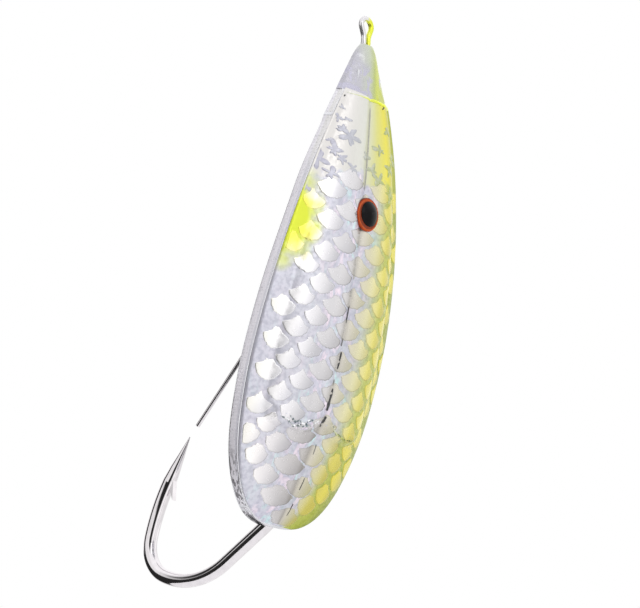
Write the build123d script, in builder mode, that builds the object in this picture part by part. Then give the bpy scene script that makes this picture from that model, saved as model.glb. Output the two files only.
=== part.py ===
from build123d import *
import math
import os

os.makedirs("parts", exist_ok=True)

# A weedless rattling spoon: an arched, pear-shaped blade with two raised lobes on its convex
# face, a single fixed hook behind it, a sprung guard wire in front of the hook point, and a
# rattle tube behind each lobe.
#
# Everything is drawn from the tail tip: +Z runs along the blade to the nose, -Y is the convex
# face, +Y the concave face with the hook, and X is the width. On export each part is moved so
# that the origin is the centre of the line-tie loop. Millimetres throughout.

# ---- blade ----
BLADE_LENGTH = 70.2
WIDTH_FACTOR = 29.0  # makes the blade 27.2 wide
SHEET = 1.5  # thickness of the stamped sheet
CROWN_FACTOR = 17.0  # makes the crest stand 6.4 above the chord
CREST_START = 0.8  # half a sheet: the convex face at the tail tip
SECTION_RADIUS = 20.0
SECTION_RADIUS_GAIN = 7.0  # the cross-section is flatter at mid length than at the ends
BLADE_STATIONS = (0.0, 0.9, 2.6, 6.0, 12.0, 20.0, 30.0, 41.0, 52.0, 60.0, 66.5)
EDGE_MARGIN = 2.6  # the trough is this much wider than the outline cut from it
OUTLINE_STATIONS = (0.25, 1.0, 3.0, 7.0, 13.0, 20.0, 27.0, 36.0, 45.0, 54.0, 58.5)

# ---- lobes on the convex face ----
LOBE_RISE = 1.15
CREASE_X = 0.15  # half-width of the crease between the lobes
LOBE_SHARE = 0.77  # share of the half-width that a lobe reaches
LOBE_STATIONS = (13.0, 17.0, 23.0, 31.0, 40.0, 49.0, 57.0, 64.0)
LOBE_ROOT = 0.6  # how deep a lobe is rooted in the sheet
STEP_X = 5.2
STEP_Z = 13.8  # lowest point of a lobe's rounded end step
STEP_SIDE_Z = 16.5

# ---- nose cap ----
CAP_EDGE_Z = 62.3
CAP_EDGE_TILT = 1.0  # the cap's lower edge slopes down towards +X
CAP_STATIONS = (  # height, half-width, front, back
    (60.5, 5.95, -3.25, 0.2),
    (63.0, 4.85, -2.75, 0.4),
    (65.5, 3.65, -2.2, 0.65),
    (67.7, 2.65, -1.75, 0.8),
    (69.3, 1.85, -1.3, 0.75),
    (70.3, 1.1, -0.8, 0.5),
)
TONGUE_HALF_WIDTH = 2.6
TONGUE_END_Z = 66.0

# ---- line tie ----
TIE_WIRE = 0.8
TIE_Y = 0.6
TIE_Z = 72.5
TIE_TILT = 12.0  # the loop leans towards the concave side
TIE_LEG_X = 0.5
TIE_LEG_LOW_Z = 66.9
TIE_NECK = -1.6  # where the legs start to bend, below the loop's centre
TIE_NECK_RADIUS = 2.0
TIE_FLARE_START = -1.15
TIE_FLARE_RADIUS = 1.5
TIE_FLARE_ANGLE = 24.0
TIE_FLARE_LENGTH = 0.968
TIE_LOOP_RADIUS = 1.12

# ---- hook ----
HOOK_WIRE = 2.04
SHANK_Y = -2.7
RIVET_Z = 45.5  # rivet, hook eye and lure eye share this height
HOOK_EYE_RADIUS = 2.05
SHANK_BEND_Z = 8.8
SHANK_BEND_RADIUS = 12.6
SHANK_BEND_ANGLE = 45.4
LEG_LENGTH = 8.2
HEEL_RADIUS = 12.3
HEEL_ANGLE = 57.6
BEND_RADIUS = 5.2
BEND_ANGLE = 77.5
SPEAR_RADIUS = 28.0
SPEAR_ANGLE = 17.5
POINT_LENGTH = 7.2
POINT_NECK_SHARE = 0.3
POINT_NECK = 0.8  # wire radius at the barb
POINT_TIP = 0.07
BARB_WIDTH = 0.8
BARB_DROP = 2.0
BARB_REACH = 2.4

# ---- rivet stack ----
FIT = 0.03  # radial clearance of the rivet in its holes
RIVET_RADIUS = 1.0
RIVET_HEAD_RADIUS = 1.7
RIVET_RECESS = 0.35
RIVET_HEAD_PROUD = 0.15
RIVET_TAIL_RADIUS = 1.6
RIVET_TAIL_HEIGHT = 0.65
WASHER_RADIUS = 1.9
WASHER_SHEET = 0.3

# ---- guard bracket and its cross pin ----
BRACKET_SHEET = 0.5
BRACKET_WIDTH = 4.4
BRACKET_TOP_Z = 48.6
BRACKET_LOW_Z = 39.8
LUG_HEIGHT = 2.3
PIN_RADIUS = 0.5
PIN_HEAD_RADIUS = 0.85
PIN_HEAD_HEIGHT = 0.35

# ---- weed guard ----
GUARD_WIRE = 0.66
COIL_RADIUS = 1.02
COIL_WIRE = 0.7
COIL_PITCH = 0.62
PIVOT_Z = 41.3
GUARD_ROOT_ANGLE = 39.0  # from the shank, before the bend in the wire
GUARD_TIP_ANGLE = 29.4  # from the shank, after the bend
GUARD_ROOT_LENGTH = 12.2
GUARD_BEND_RADIUS = 16.0
GUARD_TIP_LENGTH = 18.4
GUARD_HEEL_LENGTH = 2.3

# ---- lure eye ----
EYE_X = 0.6
EYE_RADIUS = 2.4
EYE_SEAT = 0.45  # height of the round seat above the crest line
IRIS_HEIGHT = 0.4
IRIS_FLOOR = 0.15
PUPIL_RADIUS = 1.78
PUPIL_SHIFT = (0.2, 0.12)  # the pupil sits off the iris's centre
PUPIL_HEIGHT = 0.9
PUPIL_EDGE = 0.3

# ---- rattles ----
TUBE_X = 5.5
TUBE_Y = -2.8
TUBE_RADIUS = 2.1
TUBE_BORE = 1.6
TUBE_LOW_Z = 18.0
TUBE_LENGTH = 22.0
PLUG_DEPTH = 1.5
PLUG_HEAD = 0.5
BALL_RADIUS = 1.5
BALL_COUNT = 3
GAP = 0.02  # between pieces that rest against each other

# ---- solder bead over the shank, near the tail ----
BEAD_SIZE = (2.8, 1.3, 4.0)
BEAD_Y = -2.05
BEAD_Z = 6.6

REACH = 15.0  # longer than any cut through the blade


def half_width(z):
    """Half the blade's width at a height above the tail tip."""
    share = z / BLADE_LENGTH
    return WIDTH_FACTOR * share**0.4 * (1 - share) ** 0.78


def crest_y(z):
    """The convex face on the centreline."""
    share = z / BLADE_LENGTH
    return -CREST_START - CROWN_FACTOR * share**0.65 * (1 - share)


def face_y(x, z):
    """The convex face without its lobes: an arc across the blade."""
    radius = SECTION_RADIUS + SECTION_RADIUS_GAIN * math.sin(math.pi * z / BLADE_LENGTH)
    return crest_y(z) + radius - math.sqrt(radius**2 - x**2)


def sheet_depth(z):
    """The sheet's thickness along Y, which grows where the face slopes."""
    rise = crest_y(z + 0.5) - crest_y(z)
    return SHEET * math.hypot(1, min(abs(rise) / 0.5, 0.8))


def lobe_height(z):
    return LOBE_RISE * math.sin(math.pi * z / BLADE_LENGTH) ** 0.6


def heading(angle):
    """A direction in the YZ plane, turned from -Z towards +Y."""
    return (math.sin(math.radians(angle)), -math.cos(math.radians(angle)))


def facing_back(y):
    """Plane across the rivet at depth y, with its normal along +Y."""
    return Plane(origin=(0, y, RIVET_Z), x_dir=(1, 0, 0), z_dir=(0, 1, 0))


def cap_edge_z(x):
    """The sloping lower edge of the nose cap."""
    return CAP_EDGE_Z - x * math.tan(math.radians(CAP_EDGE_TILT))


# Outlines seen from the front are drawn behind the lure and cut forwards through it
outline_plane = Plane.XZ.offset(-REACH)

# Depths of the rivet stack, from the convex face to the peened tail
head_seat = crest_y(RIVET_Z) + RIVET_RECESS
head_top = crest_y(RIVET_Z) - RIVET_HEAD_PROUD
hook_eye_front = SHANK_Y - HOOK_WIRE / 2
bracket_front = SHANK_Y + HOOK_WIRE / 2 + GAP
bracket_back = bracket_front + BRACKET_SHEET
washer_back = bracket_back + WASHER_SHEET
tail_top = washer_back + RIVET_TAIL_HEIGHT
pivot_y = bracket_back + COIL_RADIUS + COIL_WIRE / 2 + 0.04

# The lure eye's seat follows the slope of the crest
eye_slope = crest_y(RIVET_Z + 0.5) - crest_y(RIVET_Z - 0.5)
eye_plane = Plane(
    origin=(EYE_X, crest_y(RIVET_Z), RIVET_Z),
    x_dir=(1, 0, 0),
    z_dir=(0, -1, eye_slope),
)

# ---- hook: eye, shank, round bend, spear and barb ----
with BuildPart() as hook:
    with BuildLine(Plane.YZ) as hook_path:
        shank = Line((SHANK_Y, RIVET_Z - HOOK_EYE_RADIUS), (SHANK_Y, SHANK_BEND_Z))
        tail_arc = JernArc(shank @ 1, heading(0), SHANK_BEND_RADIUS, SHANK_BEND_ANGLE)
        leg = PolarLine(tail_arc @ 1, LEG_LENGTH, direction=tail_arc % 1)
        heel = JernArc(leg @ 1, leg % 1, HEEL_RADIUS, HEEL_ANGLE)
        bend = JernArc(heel @ 1, heel % 1, BEND_RADIUS, BEND_ANGLE)
        spear = JernArc(bend @ 1, bend % 1, SPEAR_RADIUS, SPEAR_ANGLE)
    with BuildSketch(Plane(shank @ 0, z_dir=shank % 0)):
        Circle(HOOK_WIRE / 2)
    sweep()
    point_root = spear @ 1
    point_dir = spear % 1
    point_sections = (
        (0, HOOK_WIRE / 2),
        (POINT_NECK_SHARE * POINT_LENGTH, POINT_NECK),
        (POINT_LENGTH, POINT_TIP),
    )
    for distance, radius in point_sections:
        with BuildSketch(Plane(point_root + point_dir * distance, z_dir=point_dir)):
            Circle(radius)
    loft(ruled=True)
    inward = Vector(0, -point_dir.Z, point_dir.Y)
    barb_top = point_root + point_dir * POINT_NECK_SHARE * POINT_LENGTH
    barb_tip = point_root - point_dir * BARB_DROP + inward * BARB_REACH
    with BuildSketch(Plane.YZ):
        with BuildLine():
            Polyline(
                (barb_top.Y, barb_top.Z),
                (point_root.Y, point_root.Z),
                (barb_tip.Y, barb_tip.Z),
                close=True,
            )
        make_face()
    extrude(amount=BARB_WIDTH / 2, both=True)
    with Locations(facing_back(SHANK_Y)):
        Torus(HOOK_EYE_RADIUS, HOOK_WIRE / 2)

# ---- line tie: a pear-shaped wire loop on two legs ----
tie_tilt = math.radians(TIE_TILT)
tie_plane = Plane(
    origin=(0, TIE_Y, TIE_Z),
    x_dir=(1, 0, 0),
    z_dir=(0, -math.cos(tie_tilt), math.sin(tie_tilt)),
)
with BuildLine(tie_plane) as tie_loop:
    left_neck = Line((-TIE_LEG_X, TIE_NECK), (-TIE_LEG_X, TIE_FLARE_START))
    left_flare = JernArc(left_neck @ 1, left_neck % 1, TIE_FLARE_RADIUS, TIE_FLARE_ANGLE)
    left_side = PolarLine(left_flare @ 1, TIE_FLARE_LENGTH, direction=left_flare % 1)
    crown = JernArc(left_side @ 1, left_side % 1, TIE_LOOP_RADIUS, -180 - 2 * TIE_FLARE_ANGLE)
    right_side = PolarLine(crown @ 1, TIE_FLARE_LENGTH, direction=crown % 1)
    right_flare = JernArc(right_side @ 1, right_side % 1, TIE_FLARE_RADIUS, TIE_FLARE_ANGLE)
    right_neck = PolarLine(right_flare @ 1, TIE_FLARE_START - TIE_NECK, direction=right_flare % 1)

tie_edges = [*tie_loop.edges()]
for neck_end in (left_neck @ 0, right_neck @ 1):
    with BuildLine(Plane.YZ.offset(neck_end.X)) as tie_leg:
        neck_bend = JernArc(neck_end, Vector(0, *heading(-TIE_TILT)), TIE_NECK_RADIUS, TIE_TILT)
        leg_top = neck_bend @ 1
        Line(leg_top, Vector(leg_top.X, leg_top.Y, TIE_LEG_LOW_Z))
    tie_edges += tie_leg.edges()
tie_path = Wire(tie_edges)

with BuildPart() as line_tie:
    with BuildSketch(Plane(tie_path @ 0, z_dir=tie_path % 0)):
        Circle(TIE_WIRE / 2)
    sweep(path=tie_path)

# ---- lobes of the blade: two pads with a rounded end step and a crease between them ----
with BuildPart() as lobes:
    for z in LOBE_STATIONS:
        brim_x = LOBE_SHARE * half_width(z)
        brow_x = (CREASE_X + brim_x) / 2
        crease = (-CREASE_X, face_y(CREASE_X, z))
        brow = (-brow_x, face_y(brow_x, z) - lobe_height(z))
        brim = (-brim_x, face_y(brim_x, z))
        with BuildSketch(Plane.XY.offset(z)):
            with BuildLine():
                ThreePointArc(crease, brow, brim)
                Line(brim, (brim[0], brim[1] + LOBE_ROOT))
                Line((brim[0], brim[1] + LOBE_ROOT), (crease[0], crease[1] + LOBE_ROOT))
                Line((crease[0], crease[1] + LOBE_ROOT), crease)
            make_face()
    loft()
    with BuildSketch(outline_plane):
        with BuildLine():
            step = Spline(
                (0, STEP_SIDE_Z),
                (-STEP_X, STEP_Z),
                (-2 * STEP_X - 0.6, STEP_SIDE_Z + 0.8),
                tangents=((-0.45, -1), (-0.2, 1)),
            )
            Polyline(
                step @ 1,
                (-REACH, STEP_SIDE_Z + 6),
                (-REACH, cap_edge_z(-REACH)),
                (0, CAP_EDGE_Z),
                step @ 0,
            )
        make_face()
    extrude(amount=2 * REACH, mode=Mode.INTERSECT)
    mirror(about=Plane.YZ)
    with BuildSketch(outline_plane):
        with BuildLine():
            Polyline(
                (0, CAP_EDGE_Z),
                (REACH, cap_edge_z(REACH)),
                (REACH, BLADE_LENGTH),
                (0, BLADE_LENGTH),
                close=True,
            )
        make_face()
    extrude(amount=2 * REACH, mode=Mode.SUBTRACT)

# ---- blade: a trough of arc sections, cut to the pear outline ----
with BuildPart() as blade:
    for z in BLADE_STATIONS:
        side_x = half_width(z) + EDGE_MARGIN
        side_y = face_y(side_x, z)
        depth = sheet_depth(z)
        with BuildSketch(Plane.XY.offset(z)):
            with BuildLine():
                ThreePointArc((-side_x, side_y), (0, crest_y(z)), (side_x, side_y))
                Line((side_x, side_y), (side_x, side_y + depth))
                ThreePointArc((side_x, side_y + depth), (0, crest_y(z) + depth), (-side_x, side_y + depth))
                Line((-side_x, side_y + depth), (-side_x, side_y))
            make_face()
    loft()
    shoulder_x = half_width(CAP_EDGE_Z)
    left_stop = cap_edge_z(-shoulder_x)
    right_stop = cap_edge_z(shoulder_x)
    with BuildSketch(outline_plane):
        with BuildLine():
            right_side = [(half_width(z), z) for z in (*OUTLINE_STATIONS, right_stop)]
            left_side = [(-half_width(z), z) for z in (*OUTLINE_STATIONS, left_stop)]
            right_edge = Spline((0, 0), *right_side, tangents=((1, 0), (-0.45, 1)))
            left_edge = Spline((0, 0), *left_side, tangents=((-1, 0), (0.45, 1)))
            Polyline(
                right_edge @ 1,
                (TONGUE_HALF_WIDTH, cap_edge_z(TONGUE_HALF_WIDTH)),
                (TONGUE_HALF_WIDTH, TONGUE_END_Z),
                (-TONGUE_HALF_WIDTH, TONGUE_END_Z),
                (-TONGUE_HALF_WIDTH, cap_edge_z(-TONGUE_HALF_WIDTH)),
                left_edge @ 1,
            )
        make_face()
    extrude(amount=2 * REACH, mode=Mode.INTERSECT)
    add(lobes.part)
    # seat of the lure eye
    with BuildSketch(eye_plane.offset(EYE_SEAT)):
        Circle(EYE_RADIUS + 0.05)
    extrude(amount=REACH, mode=Mode.SUBTRACT)
    # recess for the rivet's head, its hole, and the seat of the hook's eye
    with BuildSketch(facing_back(head_seat)):
        Circle(RIVET_HEAD_RADIUS + FIT)
    extrude(amount=-REACH, mode=Mode.SUBTRACT)
    with BuildSketch(facing_back(0)):
        Circle(RIVET_RADIUS + FIT)
    extrude(amount=REACH, both=True, mode=Mode.SUBTRACT)
    with BuildSketch(facing_back(hook_eye_front - GAP)):
        Circle(HOOK_EYE_RADIUS + HOOK_WIRE / 2 + 0.1)
    extrude(amount=REACH, mode=Mode.SUBTRACT)
    # groove for the hook's shank at the tail
    with BuildLine(Plane.YZ):
        groove = Line((SHANK_Y, SHANK_BEND_Z + 5), (SHANK_Y, SHANK_BEND_Z))
        groove_arc = JernArc(groove @ 1, heading(0), SHANK_BEND_RADIUS, SHANK_BEND_ANGLE)
        PolarLine(groove_arc @ 1, LEG_LENGTH / 2, direction=groove_arc % 1)
    with BuildSketch(Plane(groove @ 0, z_dir=groove % 0)):
        Circle(HOOK_WIRE / 2 + GAP)
    sweep(mode=Mode.SUBTRACT)
    # pockets for the rattle tubes
    with BuildSketch(Plane.XY.offset(TUBE_LOW_Z - PLUG_HEAD - GAP)):
        with Locations((-TUBE_X, TUBE_Y), (TUBE_X, TUBE_Y)):
            Circle(TUBE_RADIUS + GAP)
    extrude(amount=TUBE_LENGTH + 2 * (PLUG_HEAD + GAP), mode=Mode.SUBTRACT)

# ---- nose cap: a blunt cone moulded over the blade's tongue and the line tie's legs ----
with BuildPart() as nose_cap:
    for z, half, front, back in CAP_STATIONS:
        seam_front = front + 0.42 * (back - front)
        seam_back = front + 0.72 * (back - front)
        with BuildSketch(Plane.XY.offset(z)):
            with BuildLine():
                ThreePointArc((-half, seam_front), (0, front), (half, seam_front))
                Line((half, seam_front), (half, seam_back))
                ThreePointArc((half, seam_back), (0, back), (-half, seam_back))
                Line((-half, seam_back), (-half, seam_front))
            make_face()
    loft()
    edge_tilt = math.radians(CAP_EDGE_TILT)
    edge_plane = Plane(
        origin=(0, 0, CAP_EDGE_Z),
        x_dir=(math.cos(edge_tilt), 0, -math.sin(edge_tilt)),
        z_dir=(math.sin(edge_tilt), 0, math.cos(edge_tilt)),
    )
    split(bisect_by=edge_plane, keep=Keep.TOP)
    add(blade.part, mode=Mode.SUBTRACT)
    add(line_tie.part, mode=Mode.SUBTRACT)

# ---- rivet, with its head under the lure eye and a peened tail ----
with BuildPart() as rivet:
    with BuildSketch(Plane.XY.offset(RIVET_Z)):
        with BuildLine():
            TangentArc((0, tail_top), (RIVET_TAIL_RADIUS, washer_back), tangent=(1, 0))
            Polyline(
                (0, tail_top),
                (0, head_top),
                (RIVET_HEAD_RADIUS, head_top),
                (RIVET_HEAD_RADIUS, head_seat),
                (RIVET_RADIUS, head_seat),
                (RIVET_RADIUS, washer_back),
                (RIVET_TAIL_RADIUS, washer_back),
            )
        make_face()
    revolve(axis=Axis((0, 0, RIVET_Z), (0, 1, 0)))

with BuildPart() as rivet_washer:
    with BuildSketch(facing_back(bracket_back)):
        Circle(WASHER_RADIUS)
        Circle(RIVET_RADIUS + FIT, mode=Mode.SUBTRACT)
    extrude(amount=WASHER_SHEET)

# ---- guard bracket: a plate under the washer with two lugs for the cross pin ----
lug_x = (BRACKET_WIDTH - BRACKET_SHEET) / 2
with BuildPart() as guard_bracket:
    with BuildSketch(facing_back(bracket_front)):
        with Locations((0, RIVET_Z - (BRACKET_TOP_Z + BRACKET_LOW_Z) / 2)):
            RectangleRounded(BRACKET_WIDTH, BRACKET_TOP_Z - BRACKET_LOW_Z, 0.8)
        Circle(RIVET_RADIUS + FIT, mode=Mode.SUBTRACT)
    extrude(amount=BRACKET_SHEET)
    for lug_side in (-lug_x, lug_x):
        with BuildSketch(Plane.YZ.offset(lug_side)):
            with Locations((pivot_y - 0.65, PIVOT_Z)):
                Rectangle(LUG_HEIGHT - 0.3, LUG_HEIGHT - 0.2)
            with Locations((pivot_y, PIVOT_Z)):
                Circle(LUG_HEIGHT / 2 - 0.1)
        extrude(amount=BRACKET_SHEET / 2, both=True)
    with BuildSketch(Plane.YZ):
        with Locations((pivot_y, PIVOT_Z)):
            Circle(PIN_RADIUS + 0.01)
    extrude(amount=BRACKET_WIDTH, both=True, mode=Mode.SUBTRACT)

with BuildPart() as guard_pin:
    pin_half = BRACKET_WIDTH / 2 + GAP
    with BuildSketch(Plane.YZ):
        with Locations((pivot_y, PIVOT_Z)):
            Circle(PIN_RADIUS)
    extrude(amount=pin_half, both=True)
    for end_x, outward in ((-pin_half, -1), (pin_half, 1)):
        with BuildSketch(Plane.YZ.offset(end_x)):
            with Locations((pivot_y, PIVOT_Z)):
                Circle(PIN_HEAD_RADIUS)
        extrude(amount=outward * PIN_HEAD_HEIGHT)

# ---- weed guard: a close coil on the cross pin, a bent arm and a short heel ----
with BuildPart() as weed_guard:
    with BuildSketch(Plane.XY.offset(PIVOT_Z)):
        with Locations(*[(turn * COIL_PITCH, pivot_y - COIL_RADIUS) for turn in (-1, 0, 1)]):
            Circle(COIL_WIRE / 2)
    revolve(axis=Axis((0, pivot_y, PIVOT_Z), (1, 0, 0)))
    root_angle = math.radians(GUARD_ROOT_ANGLE)
    root_y = pivot_y - COIL_RADIUS * math.cos(root_angle) - 0.3 * math.sin(root_angle)
    root_z = PIVOT_Z - COIL_RADIUS * math.sin(root_angle) + 0.3 * math.cos(root_angle)
    with BuildLine(Plane.YZ) as arm_path:
        arm = PolarLine((root_y, root_z), GUARD_ROOT_LENGTH + 0.3, direction=heading(GUARD_ROOT_ANGLE))
        arm_bend = JernArc(arm @ 1, arm % 1, GUARD_BEND_RADIUS, GUARD_TIP_ANGLE - GUARD_ROOT_ANGLE)
        PolarLine(arm_bend @ 1, GUARD_TIP_LENGTH, direction=arm_bend % 1)
    with BuildSketch(Plane(arm @ 0, z_dir=arm % 0)):
        Circle(GUARD_WIRE / 2)
    sweep()
    with BuildSketch(Plane.XY.offset(PIVOT_Z - 0.2)):
        with Locations((COIL_PITCH, pivot_y - COIL_RADIUS)):
            Circle(GUARD_WIRE / 2)
    extrude(amount=GUARD_HEEL_LENGTH + 0.2)

# ---- lure eye: a dished iris ring and a domed pupil ----
with BuildPart() as eye_iris:
    with BuildSketch(eye_plane.offset(EYE_SEAT)):
        Circle(EYE_RADIUS)
    extrude(amount=IRIS_HEIGHT)
    chamfer(eye_iris.edges().sort_by(Axis.Y)[0], length=0.15)
    with BuildSketch(eye_plane.offset(EYE_SEAT + IRIS_FLOOR)):
        with Locations(PUPIL_SHIFT):
            Circle(PUPIL_RADIUS + 0.01)
    extrude(amount=IRIS_HEIGHT, mode=Mode.SUBTRACT)

pupil_centre = eye_plane.from_local_coords(PUPIL_SHIFT)
pupil_base = eye_plane.shift_origin(pupil_centre).offset(EYE_SEAT + IRIS_FLOOR + 0.01)
with BuildPart() as eye_pupil:
    with BuildSketch(Plane(pupil_base.origin, x_dir=pupil_base.z_dir, z_dir=(1, 0, 0))):
        with BuildLine():
            Polyline((PUPIL_HEIGHT, 0), (0, 0), (0, PUPIL_RADIUS), (PUPIL_EDGE, PUPIL_RADIUS))
            TangentArc((PUPIL_HEIGHT, 0), (PUPIL_EDGE, PUPIL_RADIUS), tangent=(0, 1))
        make_face()
    revolve(axis=Axis(pupil_base.origin, pupil_base.z_dir))

# ---- rattles: a plugged tube with loose balls behind each lobe ----
with BuildPart() as rattle_tube_left:
    with BuildSketch(Plane.XY.offset(TUBE_LOW_Z)):
        with Locations((-TUBE_X, TUBE_Y)):
            Circle(TUBE_RADIUS)
            Circle(TUBE_BORE, mode=Mode.SUBTRACT)
    extrude(amount=TUBE_LENGTH)

with BuildPart() as rattle_plugs_left:
    for end_z, outward in ((TUBE_LOW_Z, -1), (TUBE_LOW_Z + TUBE_LENGTH, 1)):
        with BuildSketch(Plane.XY.offset(end_z)):
            with Locations((-TUBE_X, TUBE_Y)):
                Circle(TUBE_RADIUS)
        extrude(amount=outward * PLUG_HEAD)
        with BuildSketch(Plane.XY.offset(end_z)):
            with Locations((-TUBE_X, TUBE_Y)):
                Circle(TUBE_BORE - 0.01)
        extrude(amount=-outward * PLUG_DEPTH)

lowest_ball = TUBE_LOW_Z + PLUG_DEPTH + GAP + BALL_RADIUS
ball_step = 2 * BALL_RADIUS + GAP
with BuildPart() as rattle_balls_left:
    with Locations(*[(-TUBE_X, TUBE_Y, lowest_ball + ball_step * i) for i in range(BALL_COUNT)]):
        Sphere(BALL_RADIUS)

with BuildPart() as rattle_tube_right:
    mirror(rattle_tube_left.part, about=Plane.YZ)

with BuildPart() as rattle_plugs_right:
    mirror(rattle_plugs_left.part, about=Plane.YZ)

with BuildPart() as rattle_balls_right:
    mirror(rattle_balls_left.part, about=Plane.YZ)

# ---- solder bead: fills the corner between the blade and the shank ----
bead_shape = Pos(0, BEAD_Y, BEAD_Z) * scale(Sphere(1), by=BEAD_SIZE)
with BuildPart() as tail_solder:
    add(bead_shape)
    add(blade.part, mode=Mode.SUBTRACT)
    add(hook.part, mode=Mode.SUBTRACT)

pieces = {
    "blade": blade,
    "nose_cap": nose_cap,
    "line_tie": line_tie,
    "hook": hook,
    "tail_solder": tail_solder,
    "rivet": rivet,
    "rivet_washer": rivet_washer,
    "guard_bracket": guard_bracket,
    "guard_pin": guard_pin,
    "weed_guard": weed_guard,
    "eye_iris": eye_iris,
    "eye_pupil": eye_pupil,
    "rattle_tube_left": rattle_tube_left,
    "rattle_tube_right": rattle_tube_right,
    "rattle_plugs_left": rattle_plugs_left,
    "rattle_plugs_right": rattle_plugs_right,
    "rattle_balls_left": rattle_balls_left,
    "rattle_balls_right": rattle_balls_right,
}

# The origin moves from the tail tip to the centre of the line-tie loop
to_origin = Location((0, -TIE_Y, -TIE_Z))
for name, piece in pieces.items():
    piece.part.label = name
    export_step(piece.part.moved(to_origin), f"parts/{name}.step")
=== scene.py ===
import math
import random

import bpy
import numpy as np
from mathutils import Matrix, Vector, noise
from mathutils.bvhtree import BVHTree


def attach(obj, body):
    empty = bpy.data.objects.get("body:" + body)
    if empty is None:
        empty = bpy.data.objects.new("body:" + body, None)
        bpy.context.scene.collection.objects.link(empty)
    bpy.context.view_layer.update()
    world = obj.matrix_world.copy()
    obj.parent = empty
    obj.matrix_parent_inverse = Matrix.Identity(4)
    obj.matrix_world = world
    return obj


# A weedless spoon lure: the CAD parts keep their shapes and get node materials, and the convex
# face gets a draped foil film with raised foil scales. Lengths in this script are millimetres
# measured from the tail tip, as the parts were drawn, and place() turns them into the frame.
# Colours are display values from 0 to 255, which paint() turns into what shaders take.

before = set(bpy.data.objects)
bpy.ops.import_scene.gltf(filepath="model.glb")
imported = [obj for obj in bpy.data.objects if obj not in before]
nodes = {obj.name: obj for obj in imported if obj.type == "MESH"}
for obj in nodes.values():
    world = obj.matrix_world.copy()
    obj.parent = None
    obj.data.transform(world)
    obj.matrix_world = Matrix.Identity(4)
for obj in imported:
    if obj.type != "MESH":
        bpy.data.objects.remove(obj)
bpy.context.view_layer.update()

MM = 0.001
TIE_Y = 0.6  # the frame's origin, measured from the tail tip
TIE_Z = 72.5

# ---- the blade's form ----
BLADE_LENGTH = 70.2
WIDTH_FACTOR = 29.0
CROWN_FACTOR = 17.0
TAIL_POWER = 0.4  # how fast the outline widens from the tail
NOSE_POWER = 0.78  # and narrows to the nose
CREST_START = 0.8
CREST_POWER = 0.65
SECTION_RADIUS = 20.0
SECTION_RADIUS_GAIN = 7.0
SHEET = 1.5
STEP_X = 5.2
STEP_Z = 13.8
STEP_SIDE_Z = 16.5
CAP_EDGE_Z = 62.3
CAP_EDGE_TILT = math.radians(1)
EYE_X = 0.6
EYE_Z = 45.5

# ---- foil film ----
GRID_STEP = 0.15  # the face is sampled on a grid this fine
GRID_X = 15.0
GRID_LOW_Z = -0.6
GRID_HIGH_Z = 64.8
FACE_TOLERANCE = 0.6  # hits further behind face_y() than this are replaced by it
FACE_RAY_START = 40.0
SWELL_STEPS = 2  # the film spans hollows up to about twice this many grid steps
FILM_LIFT = 0.05
FILM_MARGIN = 0.14
FILM_LOW_Z = 0.3
FILM_TUCK = 0.1  # how deep the film's border goes into the blade
FILM_COLUMNS = 150
FILM_ROWS = 330
CRINKLE = 0.2  # strength of the film's crinkles at the end step
RIPPLE = 0.025  # and of its ripples everywhere

# ---- foil scales ----
COLUMN_PITCH = 3.4  # around the section
COLUMN_X = (-13.2, -11.1, -9.0, -6.9, -3.7, 0.3, 3.2, 5.9, 8.5, 10.9, 13.0)  # across the blade
COLUMN_Z = (0.9, 0.75, 0.6, 0.5, 0.3, 0.0, 0.1, 0.0, 0.0, 0.0, 0.0)  # each column's height step
MIDDLE_COLUMN = 5
ROW_PITCH = 4.54
ROW_START = 34.1
SCALE_RADIUS = 2.8
SCALE_GAP = 0.72
SCALE_SQUASH = 0.8
SCALE_TOP = 0.98  # where a scale's narrow end is cut, above its centre
SCALE_LEAN = 0.01  # a scale's left corner is higher than its right
SCALE_DROP = -0.75  # from a scale's lattice point to the middle of its face
SCALE_LIFT = 0.04
LIFT_SPREAD = 0.015
TUCK = 0.03  # how deep the borders of scales, slits and rim film go into what lies below
SCALE_POINTS = 64
SCALE_RINGS = (0.3, 0.62, 0.86, 0.97)
SHOULDER_RING = 0.9  # rings beyond this share are the scale's edge, and a little lower
SHOULDER_LIFT = 0.85
SCALE_COLUMNS = range(-4, 6)
SCALE_ROWS = range(-8, 8)
SCALE_START_Z = 1.0
SCALE_END_Z = 50.5  # above this there are no scales
GAP_SPREAD = 0.2
TONE_SPREAD = 0.15
BRIM_COLUMN = -4  # on the flat brim most scales are larger and closer
BRIM_GAIN = (-0.1, 0.3)
BRIM_GAP_SHARE = (0.3, 1.1)
BARE_BRIM_Z = (31.0, 37.0)  # heights without scales on the brim
TAIL_Z = 12.0  # below this the scales sit closer
TAIL_GAP_SHARE = 0.6
RAGGED = ((0.16, 1.7, 1.7), (0.14, 5.0, 5.1))  # a scale's edge wanders: size, rate, seed
OUTLINE_CLEAR = 0.45  # from a scale to the blade's outline
TAIL_CLEAR = 0.5  # from a scale to the tail tip
SEAM_CLEAR = 0.3  # from a scale to the nose cap
SEARCH_STEP = 0.05
SEARCH_REACH = 3.6
SMALLEST_SCALE = 0.5  # mean radius below which a cut-off scale is left out

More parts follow.
